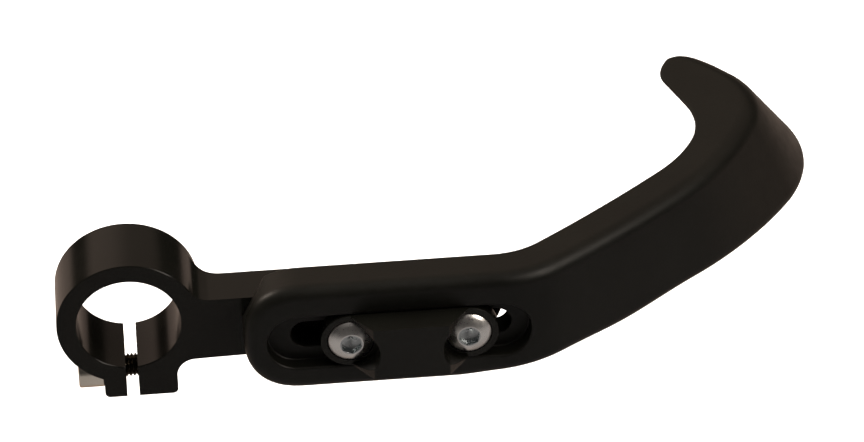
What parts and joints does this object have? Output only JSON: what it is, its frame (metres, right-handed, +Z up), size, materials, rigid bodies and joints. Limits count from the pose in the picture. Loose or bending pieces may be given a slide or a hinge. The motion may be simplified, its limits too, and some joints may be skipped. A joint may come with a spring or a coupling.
{
  "type": "motorcycle lever guard",
  "caption": "Lever guard: a split clamp with an arm for a motorcycle handlebar, carrying a slotted, bent blade that shields the brake or clutch lever and slides along the arm to set its reach.",
  "frame": {"origin": "centre of the clamp's bore, on the handlebar's axis", "axes": "+Y along the handlebar, from the blade's flat face side to the clamp's back; +X along the arm; +Z up, with the clamp's slit and ears at -Z"},
  "size_m": [0.1674, 0.0976, 0.0339],
  "materials": {
    "anodised_black": "semi-gloss black anodised, machined",
    "blade_nylon": "satin black glass-filled nylon, moulded",
    "plate_black": "satin black anodised, machined edges",
    "screw_zinc": "zinc plated, finely grained",
    "bolt_steel": "zinc plated"
  },
  "bodies": {
    "mount": {"clamp_arm": "anodised_black", "clamp_plate": "plate_black", "guard_screw_inner": "screw_zinc", "guard_screw_outer": "screw_zinc", "pinch_bolt": "bolt_steel"},
    "guard": {"guard": "blade_nylon"}
  },
  "joints": [
    {"name": "guard_slide", "type": "slide", "parent": "mount", "child": "guard", "axis": [1, 0, 0], "range_m": [-0.001, 0.0092]}
  ]
}
